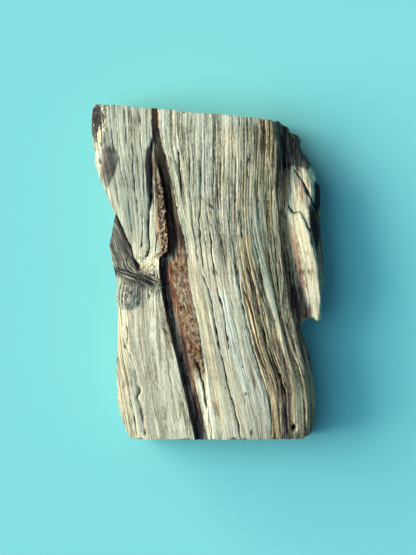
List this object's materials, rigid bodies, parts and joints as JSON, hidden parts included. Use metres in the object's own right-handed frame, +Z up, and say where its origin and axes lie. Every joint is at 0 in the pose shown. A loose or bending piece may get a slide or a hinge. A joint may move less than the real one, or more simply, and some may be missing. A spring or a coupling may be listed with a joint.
{
  "type": "palo santo stick",
  "caption": "Short broad stick of weathered palo santo wood, sawn across its ends, with a split-grain face, a deep lengthwise cleft, a knot and a torn side.",
  "frame": {"origin": "centre of the bounding box seen from above, on the surface that the stick rests on", "axes": "+Y along the grain towards the slanted saw cut, +Z up out of the weathered face, +X towards the torn side with the notch"},
  "size_m": [0.0698, 0.1, 0.028],
  "materials": {
    "weathered_wood": "dry weathered grey and cream wood with dark checks"
  },
  "bodies": {
    "root": {"palo_santo_stick": "weathered_wood"}
  },
  "joints": []
}
